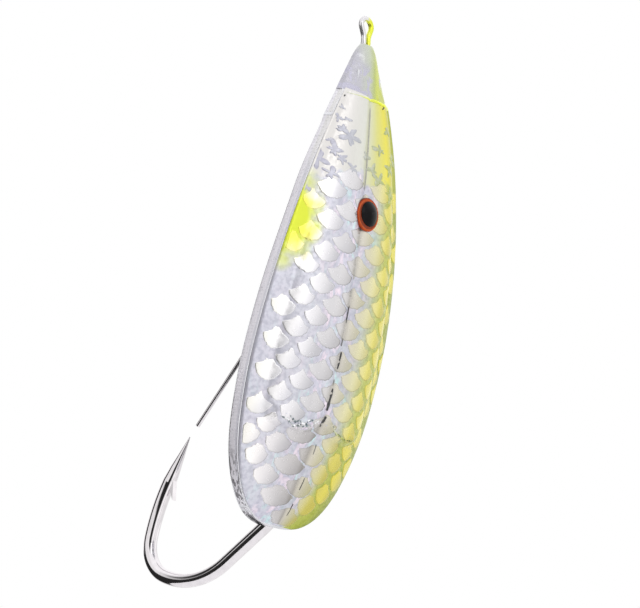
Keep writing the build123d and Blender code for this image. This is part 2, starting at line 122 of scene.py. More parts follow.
# ---- rim film, painted crease shade and beads ----
RIM_ROWS = 420
RIM_COLUMNS = 7
RIM_LOW_Z = 0.9
RIM_TOP_X = 6.0  # roughly where the side wall meets the cap
RIM_TOP_CLEAR = 0.02
RIM_LIFT = 0.045
RIM_OVERLAP = 0.06  # over the wall's front edge
RIM_WRAP = 0.1  # over both edges together
RIB_HEIGHT = 0.015
RIB_PITCH = 0.5
WALL_RAY_START = 30.0
WALL_STEP = 0.06
WALL_TOLERANCE = 0.12  # hits this close to the outermost one are the side wall
WALL_AVERAGE = 6  # rows averaged to either side
MARK_LIFT = 0.045  # above the top of the scales
BEAD_SIDES = 8
BEAD_SINK = 0.02
BEAD_STRETCH = 1.4  # a bead's height along the blade beside its thickness

# ---- materials ----
BAND_SCALE = 0.45  # puts the blade's edges at WIDTH_FACTOR * BAND_SCALE, about 13
NARROWEST = 0.12  # share of WIDTH_FACTOR below which the bands stop narrowing
WORN_SHARE = 0.86  # brightness of worn nickel beside new
MIX_SHARE, MIX_FIRST, MIX_SECOND, MIX_RESULT = 0, 6, 7, 2  # a colour mix node's sockets

# ---- yellow-green throat patch, at the left edge below the eye ----
THROAT_X = -12.4
THROAT_Z = 42.4
THROAT_REACH_X = 4.6
THROAT_REACH_Z = 6.6

# ---- view ----
VIEW_AZIMUTH = math.radians(-48)  # from -Y; negative is towards -X
VIEW_ELEVATION = math.radians(-8)
VIEW_ROLL = math.radians(11.35)
VIEW_CENTRE = (0.52, -0.57, 32.3)
VIEW_WIDTH = 90.6
LENS = 150.0
SENSOR = 36.0
FLOOR_HALF = 0.2  # metres
FLOOR_Z = -0.26

# ---- studio that reflections see: brightness by azimuth in degrees, from +X towards +Y ----
LEVELS = (
    (-180, 0.85),
    (-163, 0.90),
    (-156, 0.02),
    (-128, 0.02),
    (-119, 0.90),
    (-98, 1.00),
    (-76, 0.86),
    (-50, 0.76),
    (-15, 0.74),
    (20, 0.80),
    (60, 0.88),
    (98, 0.85),
    (106, 0.03),
    (130, 0.03),
    (138, 0.80),
)
LOW_LEVELS = (  # the same below the horizon
    (-180, 0.02),
    (-128, 0.02),
    (-119, 0.90),
    (-98, 1.00),
    (-76, 0.86),
    (-50, 0.76),
    (-15, 0.74),
    (20, 0.80),
    (58, 0.70),
    (70, 0.02),
)
HORIZON = (-0.12, -0.04)  # heights of a direction between which one set turns into the other
CEILING = (0.35, 0.7)
CEILING_COLOUR = (0.95, 0.95, 0.96, 1.0)
STUDIO_STRENGTH = 1.34


def place(x, y, z):
    """A point in millimetres from the tail tip as a position in the frame, in metres."""
    return Vector((x * MM, (y - TIE_Y) * MM, (z - TIE_Z) * MM))


def half_width(z):
    """Distance from the blade's middle to its outline."""
    share = min(max(z / BLADE_LENGTH, 0.0), 1.0)
    return WIDTH_FACTOR * share**TAIL_POWER * (1 - share) ** NOSE_POWER


def crest_y(z):
    """Depth of the blade's arch along its middle, without the lobes."""
    share = min(max(z / BLADE_LENGTH, 0.0), 1.0)
    return -CREST_START - CROWN_FACTOR * share**CREST_POWER * (1 - share)


def face_y(x, z):
    """Depth of the plain convex face, without the lobes."""
    radius = SECTION_RADIUS + SECTION_RADIUS_GAIN * math.sin(math.pi * z / BLADE_LENGTH)
    return crest_y(z) + radius - math.sqrt(radius**2 - x**2)


def cap_edge_z(x):
    """Height of the nose cap's lower edge."""
    return CAP_EDGE_Z - x * math.tan(CAP_EDGE_TILT)


def step_z(x):
    """Height of the lobes' rounded end step."""
    return STEP_Z + (STEP_SIDE_Z - STEP_Z) * ((abs(x) - STEP_X) / STEP_X) ** 2


def smooth(low, high, value):
    """0 at low, 1 at high and a smooth curve between them."""
    share = min(max((value - low) / (high - low), 0.0), 1.0)
    return share * share * (3 - 2 * share)


def wave(x, z, size, seed=0.0):
    """Smooth noise from -1 to 1 with features of the given size."""
    return noise.noise(Vector((x / size, z / size, seed)))


# ---- the film's form ----
def sampled_face():
    """The convex face as a height field, swollen and smoothed like a film drawn over it."""
    tree = BVHTree.FromObject(nodes["blade"], bpy.context.evaluated_depsgraph_get())
    xs = np.arange(-GRID_X, GRID_X + GRID_STEP / 2, GRID_STEP)
    zs = np.arange(GRID_LOW_Z, GRID_HIGH_Z, GRID_STEP)
    field = np.zeros((len(zs), len(xs)))
    forwards = Vector((0, 1, 0))
    for row, z in enumerate(zs):
        for column, x in enumerate(xs):
            hit = tree.ray_cast(place(x, -FACE_RAY_START, z), forwards)[0]
            on_front = hit is not None and hit.y / MM + TIE_Y < face_y(x, z) + FACE_TOLERANCE
            field[row, column] = hit.y / MM + TIE_Y if on_front else face_y(x, z)
    swollen = field.copy()
    steps = range(-SWELL_STEPS, SWELL_STEPS + 1)
    for rows in steps:
        for columns in steps:
            if rows**2 + columns**2 <= SWELL_STEPS**2 + 1:
                swollen = np.minimum(swollen, np.roll(field, (rows, columns), (0, 1)))
    for _ in range(2):
        for axis in (0, 1):
            sides = np.roll(swollen, 1, axis) + np.roll(swollen, -1, axis)
            swollen = 0.5 * swollen + 0.25 * sides
    return swollen


face_field = sampled_face()


def film_y(x, z):
    """Depth of the film on the convex face, with its crinkles and ripples."""
    column = min(max((x + GRID_X) / GRID_STEP, 0), face_field.shape[1] - 1.001)
    row = min(max((z - GRID_LOW_Z) / GRID_STEP, 0), face_field.shape[0] - 1.001)
    left, low = int(column), int(row)
    across, up = column - left, row - low
    lower = face_field[low, left] * (1 - across) + face_field[low, left + 1] * across
    upper = face_field[low + 1, left] * (1 - across) + face_field[low + 1, left + 1] * across
    depth = lower * (1 - up) + upper * up
    from_step = z - step_z(x) - 0.3
    near_step = math.exp(-(from_step / 1.1) ** 2) * smooth(11.0, 8.0, abs(x))
    crinkle = CRINKLE * near_step * (wave(x, z, 0.75) + 0.5 * wave(x, z, 0.4, 2.0) - 0.7)
    ripple = RIPPLE * (wave(x, z, 2.2, 4.0) - 0.8)
    return depth - FILM_LIFT + crinkle + ripple


# ---- materials ----
def paint(red, green, blue):
    """A display colour, 0 to 255, as the linear colour that shaders take."""
    channels = []
    for value in (red, green, blue):
        share = value / 255
        channels.append(share / 12.92 if share <= 0.04045 else ((share + 0.055) / 1.055) ** 2.4)
    return (*channels, 1.0)


class Finish:
    """A node material on one Principled shader, with short calls for the nodes that feed it."""

    def __init__(self, name, **values):
        self.material = bpy.data.materials.new(name)
        self.material.use_nodes = True
        self.tree = self.material.node_tree
        self.shader = self.tree.nodes["Principled BSDF"]
        for socket, value in values.items():
            self.shader.inputs[socket.replace("_", " ")].default_value = value
        coordinates = self.tree.nodes.new("ShaderNodeTexCoord").outputs["Object"]
        scaled = self.node("ShaderNodeVectorMath", operation="SCALE")
        self.tree.links.new(coordinates, scaled.inputs[0])
        scaled.inputs["Scale"].default_value = 1 / MM
        moved = self.node("ShaderNodeVectorMath", operation="ADD")
        self.tree.links.new(scaled.outputs[0], moved.inputs[0])
        moved.inputs[1].default_value = (0, TIE_Y, TIE_Z)
        self.position = moved.outputs[0]
        split = self.node("ShaderNodeSeparateXYZ")
        self.tree.links.new(self.position, split.inputs[0])
        self.x, self.y, self.z = split.outputs

    def node(self, kind, **settings):
        made = self.tree.nodes.new(kind)
        for setting, value in settings.items():
            setattr(made, setting, value)
        return made

    def feed(self, socket, value):
        if isinstance(value, bpy.types.NodeSocket):
            self.tree.links.new(value, socket)
        else:
            socket.default_value = value

    def math(self, operation, *values):
        made = self.node("ShaderNodeMath", operation=operation)
        for socket, value in zip(made.inputs, values):
            self.feed(socket, value)
        return made.outputs[0]

    def span(self, value, low, high, bottom=0.0, top=1.0):
        """Maps value smoothly from low..high to bottom..top, held at the ends."""
        made = self.node("ShaderNodeMapRange", interpolation_type="SMOOTHSTEP")
        for socket, given in zip(made.inputs, (value, low, high, bottom, top)):
            self.feed(socket, given)
        return made.outputs[0]

    def noise(self, size, detail=2.0, stretch=(1, 1, 1), distortion=0.0):
        """Noise from 0 to 1 with features of the given size."""
        mapping = self.node("ShaderNodeMapping")
        self.tree.links.new(self.position, mapping.inputs["Vector"])
        mapping.inputs["Scale"].default_value = [1 / (size * s) for s in stretch]
        made = self.node("ShaderNodeTexNoise")
        self.tree.links.new(mapping.outputs[0], made.inputs["Vector"])
        made.inputs["Scale"].default_value = 1.0
        made.inputs["Detail"].default_value = detail
        made.inputs["Distortion"].default_value = distortion
        return made.outputs[0]

    def ramp(self, value, low, high, stops):
        """A colour from stops of (value, display colour)."""
        made = self.node("ShaderNodeValToRGB")
        share = self.node("ShaderNodeMapRange")
        for socket, given in zip(share.inputs, (value, low, high, 0.0, 1.0)):
            self.feed(socket, given)
        self.tree.links.new(share.outputs[0], made.inputs[0])
        elements = made.color_ramp.elements
        while len(elements) < len(stops):
            elements.new(0.5)
        for element, (stop, _) in zip(elements, stops):
            element.position = (stop - low) / (high - low)
        for element, (_, colour) in zip(elements, stops):
            element.color = paint(*colour)
        return made.outputs[0]

    def mix(self, share, first, second, blend="MIX"):
        made = self.node("ShaderNodeMix", data_type="RGBA", blend_type=blend)
        self.feed(made.inputs[MIX_SHARE], share)
        self.feed(made.inputs[MIX_FIRST], first)
        self.feed(made.inputs[MIX_SECOND], second)
        return made.outputs[MIX_RESULT]

    def distance(self, across, along):
        """Length of a vector with the two given parts."""
        squares = [self.math("POWER", part, 2.0) for part in (across, along)]
        return self.math("SQRT", self.math("ADD", *squares))

    def attribute(self, name):
        return self.node("ShaderNodeAttribute", attribute_name=name).outputs["Fac"]

    def bump(self, height, distance, strength=1.0):
        made = self.node("ShaderNodeBump")
        made.inputs["Strength"].default_value = strength
        made.inputs["Distance"].default_value = distance * MM
        self.feed(made.inputs["Height"], height)
        self.feed(self.shader.inputs["Normal"], made.outputs[0])

    def colour(self, value):
        self.feed(self.shader.inputs["Base Color"], value)

    def roughness(self, value):
        self.feed(self.shader.inputs["Roughness"], value)

    def uneven_roughness(self, size, low, high):
        """Roughness from low to high in patches of the given size."""
        self.roughness(self.span(self.noise(size), 0.3, 0.7, low, high))

    def uneven_colour(self, size, first, second):
        """Two close display colours in patches of the given size."""
        self.colour(self.mix(self.span(self.noise(size), 0.3, 0.7), paint(*first), paint(*second)))


def across_colour(finish):
    """Place across the blade, -13 to 13 from edge to edge, with a small shift near the tail."""
    share = finish.math("DIVIDE", finish.z, BLADE_LENGTH)
    rising = finish.math("POWER", share, TAIL_POWER)
    falling = finish.math("POWER", finish.math("SUBTRACT", 1.0, share), NOSE_POWER)
    width = finish.math("MAXIMUM", finish.math("MULTIPLY", rising, falling), NARROWEST)
    relative = finish.math("DIVIDE", finish.math("MULTIPLY", finish.x, BAND_SCALE), width)
    return finish.math("ADD", relative, finish.span(finish.z, 20.0, 4.0, 0.0, 1.2))


def throat_patch(finish):
    """Where the yellow-green airbrushed patch lies: 1 inside, 0 outside."""
    across = finish.math("DIVIDE", finish.math("SUBTRACT", finish.x, THROAT_X), THROAT_REACH_X)
    along = finish.math("DIVIDE", finish.math("SUBTRACT", finish.z, THROAT_Z), THROAT_REACH_Z)
    reach = finish.distance(across, along)
    ragged = finish.math("ADD", reach, finish.span(finish.noise(2.4), 0.2, 0.8, -0.2, 0.2))
    return finish.span(ragged, 1.25, 0.55)


def film_finish():
    finish = Finish("foil_film", Metallic=0.5, Coat_Weight=0.12, Coat_Roughness=0.1)
    across = across_colour(finish)
    base = finish.ramp(across, -15, 15, (
        (-14, (208, 207, 218)),
        (-9, (212, 211, 220)),
        (-4, (214, 213, 218)),
        (0.5, (188, 192, 188)),
        (3, (182, 188, 150)),
        (6, (184, 190, 84)),
        (10, (170, 180, 40)),
        (14, (140, 152, 22)),
    ))
    # Painted sheen: cyan and pink patches stand in for the holographic net's diffracted reflection,
    # painted strongest near the crease and left out on the yellow side
    iridescent_sheen = finish.ramp(finish.noise(2.4, 3.0, (0.8, 1, 1.7), 1.2), 0, 1, (
        (0.28, (200, 238, 238)),
        (0.42, (206, 208, 218)),
        (0.54, (200, 198, 214)),
        (0.66, (244, 226, 238)),
    ))
    from_crease = finish.math("ABSOLUTE", finish.math("ADD", finish.x, 1.5))
    sheen_near_crease = finish.span(from_crease, 7.0, 2.0, 0.15, 0.8)
    colour = finish.mix(sheen_near_crease, base, iridescent_sheen)
    colour = finish.mix(finish.span(across, 2.0, 7.0), colour, base)
    mottle = finish.span(finish.noise(0.55, 3.0), 0.35, 0.7)
    dimmed = finish.math("MULTIPLY", mottle, 0.5)
    colour = finish.mix(dimmed, colour, paint(206, 208, 214), "MULTIPLY")
    pale = finish.ramp(across, -15, 15, (
        (-9, (220, 217, 214)),
        (-3, (212, 212, 204)),
        (0, (206, 208, 184)),
        (2.5, (214, 212, 132)),
        (6, (224, 214, 70)),
        (12, (160, 168, 30)),
    ))
    nose_z = finish.math("ADD", finish.z, finish.span(finish.noise(2.6), 0.2, 0.8, -2.2, 2.2))
    colour = finish.mix(finish.span(nose_z, 49.2, 50.4), colour, pale)
    colour = finish.mix(throat_patch(finish), colour, paint(216, 226, 60))
    finish.colour(colour)
    finish.roughness(finish.span(mottle, 0.0, 1.0, 0.3, 0.46))
    finish.bump(finish.noise(0.7, 3.0), 0.06, 0.6)
    return finish.material


def scale_finish():
    finish = Finish("foil_scale", Metallic=0.55, Coat_Weight=0.1, Coat_Roughness=0.06)
    across = across_colour(finish)
    # Two-tone paint from silver to chartreuse across the blade, with painted shading of the lobes
    # on top: a painted highlight band near -10, then painted shade darkening towards the crease at
    # -0.3
    base = finish.ramp(across, -15, 15, (
        (-14, (224, 223, 212)),
        (-12.4, (234, 232, 224)),
        (-10.4, (255, 253, 253)),
        (-7.5, (234, 232, 235)),
        (-4, (208, 206, 208)),
        (-1.3, (198, 195, 194)),
        (-0.3, (172, 168, 163)),
        (0.6, (212, 207, 194)),
        (3.2, (216, 211, 168)),
        (6, (214, 204, 94)),
        (9, (228, 216, 66)),
        (14, (212, 204, 38)),
    ))
    tail = finish.span(finish.z, 17.0, 12.0, 0.0, 0.3)
    base = finish.mix(tail, base, paint(234, 228, 222), "MULTIPLY")
    # painted shade inside each scale, darker to its right and lower end, on top of each scale's
    # random tone
    shade = finish.span(finish.attribute("tone_and_shade"), 0.35, 1.0, 0.0, 0.6)
    colour = finish.mix(shade, base, paint(206, 207, 213), "MULTIPLY")
    edge = finish.math("MULTIPLY", finish.attribute("rim"), 0.3)
    colour = finish.mix(edge, colour, paint(160, 164, 168), "MULTIPLY")
    colour = finish.mix(throat_patch(finish), colour, paint(246, 240, 96))
    finish.colour(colour)
    speck = finish.span(finish.noise(0.5, 3.0), 0.62, 0.74)
    finish.roughness(finish.span(speck, 0.0, 1.0, 0.26, 0.4))
    finish.bump(finish.noise(1.1, 2.0), 0.02, 0.5)
    return finish.material


def patch_finish():
    finish = Finish("bare_spot", Metallic=0.5)
    base = finish.ramp(finish.x, -15, 15, (
        (-8, (182, 181, 196)),
        (-3, (178, 180, 186)),
        (0.5, (176, 182, 150)),
        (5, (166, 176, 70)),
    ))
    pale = finish.span(finish.noise(0.5, 3.0), 0.35, 0.7, 0.0, 0.4)
    finish.colour(finish.mix(pale, base, paint(212, 212, 216)))
    finish.uneven_roughness(0.4, 0.3, 0.45)
    return finish.material


def mark_finish():
    finish = Finish("painted_crease_shade", Metallic=0.2)
    # painted shade: the darkness attribute sets how near black each mark is painted
    shade = finish.mix(finish.attribute("dark"), paint(206, 204, 196), paint(38, 38, 40))
    fleck = finish.span(finish.noise(0.3), 0.45, 0.7, 0.0, 0.35)
    finish.colour(finish.mix(fleck, shade, paint(120, 120, 118)))
    finish.uneven_roughness(0.3, 0.3, 0.5)
    return finish.material


def crinkle_finish():
    finish = Finish("crinkled_film", Metallic=0.6)
    # Painted glints and shade: the crumpled fold is painted near white and dark grey in patches,
    # standing in for its bright glints and dark creases
    share = finish.span(finish.noise(0.45, 3.0), 0.42, 0.62)
    base = finish.mix(share, paint(240, 240, 242), paint(96, 110, 116))
    right = finish.span(finish.x, 0.5, 4.0)
    finish.colour(finish.mix(right, base, paint(200, 206, 110), "MULTIPLY"))
    finish.roughness(finish.span(share, 0.0, 1.0, 0.12, 0.34))
    return finish.material


def nickel_finish(name, colour, roughness, grain=0.9):
    """Bare or plated metal, a little darker and rougher in worn patches."""
    finish = Finish(name, Metallic=1.0)
    cloud = finish.noise(grain, 4.0)
    worn = [channel * WORN_SHARE for channel in colour]
    wear = finish.span(cloud, 0.35, 0.75, 0.0, 0.3)
    finish.colour(finish.mix(wear, paint(*colour), paint(*worn)))
    finish.roughness(finish.span(cloud, 0.3, 0.8, roughness, roughness + 0.06))
    finish.bump(finish.noise(0.6, 2.0), 0.002, 0.3)
    return finish.material


def cap_finish():
    finish = Finish("cap_paint", Metallic=0.55, Coat_Weight=0.15, Coat_Roughness=0.08)
    base = finish.ramp(finish.x, -6, 6, (
        (-5.5, (176, 174, 184)),
        (-2.2, (186, 185, 192)),
        (-0.4, (190, 196, 176)),
        (0.7, (178, 188, 116)),
        (1.6, (200, 208, 84)),
        (4.0, (176, 184, 36)),
    ))
    blotch = finish.span(finish.noise(1.3, 3.0, (1, 1, 1.4), 0.6), 0.5, 0.56)
    left = finish.span(finish.x, 1.2, -0.8)
    low = finish.span(finish.z, 68.0, 65.5)
    share = finish.math("MULTIPLY", finish.math("MULTIPLY", blotch, left), low)
    finish.colour(finish.mix(share, base, paint(186, 184, 200)))
    finish.uneven_roughness(0.6, 0.2, 0.34)
    finish.bump(finish.noise(1.8, 1.0), 0.4, 0.7)
    return finish.material


def tie_finish():
    finish = Finish("tie_wire", Metallic=0.75, Coat_Weight=0.3, Coat_Roughness=0.1)
    ragged = finish.math("ADD", finish.x, finish.span(finish.noise(0.5), 0.3, 0.7, -0.35, 0.35))
    finish.colour(finish.ramp(ragged, -2, 2, (
        (-0.4, (214, 212, 214)),
        (0.3, (226, 230, 70)),
        (1.4, (208, 216, 30)),
    )))
    finish.uneven_roughness(0.4, 0.14, 0.3)
    return finish.material


def iris_finish():
    finish = Finish("iris", Specular_IOR_Level=0.12, Coat_Weight=0.06, Coat_Roughness=0.05)
    across = finish.math("SUBTRACT", finish.x, EYE_X)
    along = finish.math("SUBTRACT", finish.z, EYE_Z)
    ring = finish.ramp(finish.distance(across, along), 1.8, 2.5, (
        (1.9, (120, 44, 10)),
        (2.1, (196, 84, 22)),
        (2.3, (176, 64, 18)),
        (2.45, (70, 28, 14)),
    ))
    dark = finish.span(finish.noise(0.4, 3.0), 0.4, 0.7, 0.0, 0.4)
    finish.colour(finish.mix(dark, ring, paint(120, 40, 10)))
    finish.uneven_roughness(0.3, 0.22, 0.34)
    return finish.material


def pupil_finish():
    finish = Finish("pupil", Specular_IOR_Level=0.08, Coat_Weight=0.04, Coat_Roughness=0.03)
    finish.uneven_colour(0.8, (8, 8, 10), (16, 14, 17))
    finish.uneven_roughness(0.5, 0.1, 0.2)
    return finish.material


def rim_finish():
    finish = Finish("rim_film", Metallic=0.08, Coat_Weight=0.3, Coat_Roughness=0.12)
    base = finish.ramp(finish.x, -15, 15, (
        (-13, (250, 246, 253)),
        (-2, (244, 242, 248)),
        (3, (204, 210, 120)),
        (12, (160, 170, 30)),
    ))
    # Painted reflection: dark streaks on the rim near the tail stand in for a dark reflection on
    # the polished edge
    dark = finish.span(finish.z, 12.0, 5.0, 0.0, 0.75)
    streak = finish.span(finish.noise(0.5, 3.0, (1, 1, 4)), 0.46, 0.56)
    wider = finish.span(finish.z, 42.0, 58.0, 0.0, 0.35)
    front = finish.math("ADD", finish.attribute("front"), wider)
    nose = finish.span(finish.z, 48.0, 53.0)
    turned = finish.mix(nose, paint(214, 213, 222), paint(236, 234, 232))
    base = finish.mix(finish.span(front, 0.7, 0.85, 0.0, 0.8), base, turned)
    colour = finish.mix(finish.math("MULTIPLY", dark, streak), base, paint(50, 46, 52))
    speck = finish.span(finish.noise(0.35, 2.0, (1, 1, 0.5)), 0.6, 0.68, 0.0, 0.3)
    finish.colour(finish.mix(speck, colour, paint(120, 118, 130)))
    finish.roughness(finish.span(streak, 0.0, 1.0, 0.26, 0.42))
    return finish.material


def seam_finish():
    finish = Finish("seam_paint", Coat_Weight=0.6, Coat_Roughness=0.1)
    finish.colour(finish.ramp(finish.x, -6, 6, (
        (-4.5, (226, 228, 214)),
        (-1, (224, 232, 90)),
        (1.5, (232, 238, 20)),
        (5, (226, 232, 20)),
    )))
    finish.uneven_roughness(0.4, 0.25, 0.4)
    return finish.material


def plug_finish():
    finish = Finish("rattle_plug", Coat_Weight=0.2)
    finish.uneven_colour(1.0, (222, 224, 220), (206, 208, 204))
    finish.uneven_roughness(0.5, 0.3, 0.42)
    return finish.material


def tube_finish():
    finish = Finish("rattle_tube", Transmission_Weight=0.92, IOR=1.47)
    finish.uneven_colour(2.0, (244, 248, 250), (234, 242, 246))
    finish.uneven_roughness(1.0, 0.04, 0.12)
    return finish.material


def give(names, material):
    """Puts one material on the CAD parts of these names."""
    for name in names:
        node = nodes[name]
        node.data.materials.clear()
        node.data.materials.append(material)


give(["blade"], nickel_finish("blade_nickel", (214, 214, 218), 0.14, 2.5))
give(["nose_cap"], cap_finish())
give(["line_tie"], tie_finish())
give(["hook"], nickel_finish("hook_nickel", (222, 218, 220), 0.05))
give(["weed_guard"], nickel_finish("guard_nickel", (222, 218, 220), 0.05))
give(["tail_solder"], nickel_finish("solder", (176, 176, 180), 0.34, 0.6))
fittings = ["rivet", "rivet_washer", "guard_bracket", "guard_pin"]
give(fittings, nickel_finish("fitting_nickel", (184, 184, 186), 0.2))
give(["eye_iris"], iris_finish())
give(["eye_pupil"], pupil_finish())
give(["rattle_tube_left", "rattle_tube_right"], tube_finish())
give(["rattle_plugs_left", "rattle_plugs_right"], plug_finish())
balls = ["rattle_balls_left", "rattle_balls_right"]
give(balls, nickel_finish("ball_steel", (206, 206, 210), 0.06))


# ---- pieces ----
def make_piece(name, vertices, faces, material, attributes=None):
    """One visual piece that rides with the lure's body."""
    mesh = bpy.data.meshes.new(name)
    mesh.from_pydata(vertices, [], faces)
    for key, values in (attributes or {}).items():
        layer = mesh.attributes.new(key, "FLOAT", "POINT")
        layer.data.foreach_set("value", values)
    mesh.polygons.foreach_set("use_smooth", [True] * len(mesh.polygons))
    mesh.materials.append(material)
    mesh.update()
    piece = bpy.data.objects.new(name, mesh)
    bpy.context.scene.collection.objects.link(piece)
    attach(piece, "lure")


def strip_faces(rows, columns):
    """Quads between the points of a grid stored row by row."""
    faces = []
    for row in range(rows - 1):
        for column in range(columns - 1):
            corner = row * columns + column
            faces.append((corner, corner + 1, corner + columns + 1, corner + columns))
    return faces


def foil_film():
    """The film over the whole convex face, tucked into the blade along its outline."""
    vertices = []
    for row in range(FILM_ROWS + 1):
        share = row / FILM_ROWS
        for column in range(FILM_COLUMNS + 1):
            side = 2 * column / FILM_COLUMNS - 1
            z = FILM_LOW_Z + CAP_EDGE_Z * share
            x = side * (half_width(z) - FILM_MARGIN)
            z += (cap_edge_z(x) - CAP_EDGE_Z) * share
            tucked = row in (0, FILM_ROWS) or column in (0, FILM_COLUMNS)
            y = film_y(x, z) + (FILM_LIFT + FILM_TUCK if tucked else 0)
            vertices.append(place(x, y, z))
    faces = strip_faces(FILM_ROWS + 1, FILM_COLUMNS + 1)
    make_piece("foil_film", vertices, faces, film_finish())


def across_blade(u):
    """Where a point at arc position u on the lattice lies across the blade."""
    return float(np.interp(u / COLUMN_PITCH + MIDDLE_COLUMN, range(len(COLUMN_X)), COLUMN_X))


def ragged_edge(du, dz, shift):
    """How far a scale's edge wanders from its arc."""
    parts = []
    for size, rate, seed in RAGGED:
        parts.append(size * noise.noise(Vector((du * rate + shift, dz * rate, seed))))
    return sum(parts)


def scale_outline(column, z, generator):
    """Radii of one scale around its centre: its own round lower edge, cut by the scales above."""
    u = column * COLUMN_PITCH
    radius = SCALE_RADIUS
    gap = SCALE_GAP + generator.uniform(-GAP_SPREAD, GAP_SPREAD)
    if column <= BRIM_COLUMN:
        radius += generator.uniform(*BRIM_GAIN)
        gap *= generator.uniform(*BRIM_GAP_SHARE)
    if z < TAIL_Z:
        gap *= TAIL_GAP_SHARE
    shift = generator.uniform(0, 50)
    rise = ROW_PITCH / SCALE_SQUASH
    upper = [(-COLUMN_PITCH, rise / 2), (COLUMN_PITCH, rise / 2), (0, rise)]
    radii = []
    for index in range(SCALE_POINTS):
        angle = 2 * math.pi * index / SCALE_POINTS
        reach = 0.0
        while reach < SEARCH_REACH:
            reach += SEARCH_STEP
            du = reach * math.cos(angle)
            dz = reach * math.sin(angle) + SCALE_DROP
            level = (dz + SCALE_LEAN * du) / SCALE_SQUASH
            ragged = ragged_edge(du, dz, shift)
            if math.hypot(du, level) > radius + ragged or level > SCALE_TOP + ragged:
                break
            if any(math.hypot(du - a, level - b) < radius + gap + ragged for a, b in upper):
                break
            x = across_blade(u + du)
            if abs(x) > half_width(z + dz) - OUTLINE_CLEAR:
                break
            if not TAIL_CLEAR < z + dz < cap_edge_z(x) - SEAM_CLEAR:
                break
        radii.append(reach - SEARCH_STEP)
    return radii


def foil_scales():
    """Raised foil scales on a staggered lattice, each with a seeded ragged edge."""
    generator = random.Random(7)
    vertices, faces, tones_and_shades, rims = [], [], [], []
    for column in SCALE_COLUMNS:
        for row in SCALE_ROWS:
            z = ROW_START + ROW_PITCH * (row + (0.5 if column % 2 else 0.0))
            z += COLUMN_Z[column + MIDDLE_COLUMN]
            bare_brim = column == BRIM_COLUMN and BARE_BRIM_Z[0] < z < BARE_BRIM_Z[1]
            if bare_brim or not SCALE_START_Z < z < SCALE_END_Z:
                continue
            radii = scale_outline(column, z, generator)
            base_tone = generator.uniform(-TONE_SPREAD, TONE_SPREAD)
            if sum(radii) / len(radii) < SMALLEST_SCALE:
                continue
            lift = SCALE_LIFT + generator.uniform(0, LIFT_SPREAD)
            first = len(vertices)
            u = column * COLUMN_PITCH
            x, centre_z = across_blade(u), z + SCALE_DROP
            vertices.append(place(x, film_y(x, centre_z) - lift, centre_z))
            tones_and_shades.append(0.5 + base_tone)
            rims.append(0.0)
            for ring, share in enumerate((*SCALE_RINGS, 1.0)):
                shoulder = share > SHOULDER_RING
                rise = lift * (SHOULDER_LIFT if shoulder else 1)
                if ring == len(SCALE_RINGS):
                    rise = -TUCK
                for index, reach in enumerate(radii):
                    angle = 2 * math.pi * index / SCALE_POINTS
                    du = share * reach * math.cos(angle)
                    dz = share * reach * math.sin(angle)
                    x = across_blade(u + du)
                    vertices.append(place(x, film_y(x, centre_z + dz) - rise, centre_z + dz))
                    # each scale's random tone plus painted shade: darker towards its right side and
                    # its lower end
                    tones_and_shades.append(0.5 + base_tone + 0.2 * du - 0.1 * dz)
                    rims.append(1.0 if shoulder else 0.0)
            for index in range(SCALE_POINTS):
                following = (index + 1) % SCALE_POINTS
                faces.append((first, first + 1 + index, first + 1 + following))
                for ring in range(len(SCALE_RINGS)):
                    low = first + 1 + ring * SCALE_POINTS
                    high = low + SCALE_POINTS
                    faces.append((low + index, high + index, high + following, low + following))
    shades = {"tone_and_shade": tones_and_shades, "rim": rims}
    make_piece("foil_scales", vertices, faces, scale_finish(), shades)


def film_patches():
    """Bare spots where the foil is missing, towards the nose: small stars and blots."""
    patches = (  # x, height, size, arms, turn in degrees
        (-4.4, 55.6, 1.5, 5, 20),
        (-5.4, 56.3, 0.8, 3, 60),
        (-6.6, 53.1, 1.25, 4, 10),
        (-5.6, 52.0, 1.0, 5, 40),
        (-8.8, 51.2, 1.5, 4, 30),
        (-5.9, 57.9, 0.7, 3, 0),
        (-5.4, 59.6, 0.4, 3, 50),
        (-4.6, 58.0, 0.5, 2, 15),
        (-7.0, 54.3, 0.6, 3, 80),
        (-6.9, 49.6, 1.0, 4, 35),
        (-3.6, 51.2, 0.9, 4, 70),
        (-0.5, 53.8, 0.9, 3, 10),
        (2.0, 55.4, 1.0, 4, 0),
        (2.2, 51.0, 1.2, 4, 60),
        (0.9, 52.2, 0.9, 3, 75),
        (3.6, 58.6, 0.9, 3, 20),
        (4.8, 53.2, 1.2, 4, 45),
        (6.4, 55.2, 1.0, 3, 80),
        (5.2, 49.6, 1.1, 4, 15),
        (-10.2, 46.6, 0.7, 3, 25),
    )
    points, flatness, edge_clear, top = 48, 0.8, 0.3, 0.05
    rings = ((0.3, top), (0.6, top), (0.93, 0.045), (1.0, -0.04))  # share of the radius, height
    vertices, faces = [], []
    for x, z, size, arms, turn in patches:
        first = len(vertices)
        vertices.append(place(x, film_y(x, z) - top, z))
        for share, rise in rings:
            for index in range(points):
                angle = 2 * math.pi * index / points
                arm = abs(math.cos(arms * angle / 2 + math.radians(turn))) ** 1.6
                around = (2.2 * math.cos(angle), 2.2 * math.sin(angle))
                reach = share * size * (0.4 + 0.75 * arm) * (1 + 0.9 * wave(*around, 1.0, x + z))
                spot_x = x + reach * math.cos(angle)
                spot_z = z + flatness * reach * math.sin(angle)
                limit = half_width(spot_z) - edge_clear
                spot_x = min(max(spot_x, -limit), limit)
                vertices.append(place(spot_x, film_y(spot_x, spot_z) - rise, spot_z))
        for index in range(points):
            following = (index + 1) % points
            faces.append((first, first + 1 + index, first + 1 + following))
            for ring in range(len(rings) - 1):
                inner = first + 1 + ring * points
                outer = inner + points
                faces.append((inner + index, outer + index, outer + following, inner + following))
    make_piece("film_patches", vertices, faces, patch_finish())


